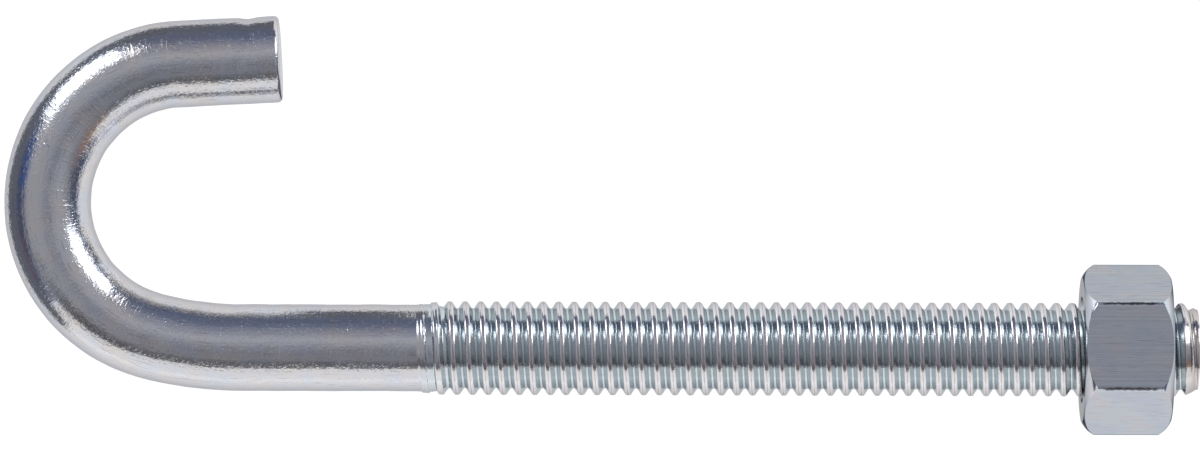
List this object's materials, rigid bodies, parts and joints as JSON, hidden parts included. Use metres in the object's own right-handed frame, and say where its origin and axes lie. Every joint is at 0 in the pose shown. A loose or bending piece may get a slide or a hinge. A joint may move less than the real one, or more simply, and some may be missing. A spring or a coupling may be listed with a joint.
{
  "type": "j bolt",
  "caption": "Zinc-plated steel J bolt: round bar bent to an open hook, with a long rolled thread and a hexagon nut near its end.",
  "frame": {"origin": "centre of the threaded end, on the middle line of the straight bar", "axes": "+X out of the threaded end along the straight bar, +Y from the straight bar to the arm of the hook, +Z square to the plane of the hook, up as the bolt lies on its side"},
  "size_m": [0.1499, 0.0524, 0.0194],
  "materials": {
    "zinc_bar": "bright zinc plate with a clear blue passivation, over drawn and rolled steel",
    "zinc_nut": "bright zinc plate with a clear blue passivation, over cold-formed steel"
  },
  "bodies": {
    "bolt": {"j_bolt": "zinc_bar"},
    "nut": {"hex_nut": "zinc_nut"}
  },
  "joints": [
    {"name": "nut_travel", "type": "slide", "parent": "bolt", "child": "nut", "axis": [1, 0, 0], "range_m": [-0.07815, 0.01954]}
  ]
}
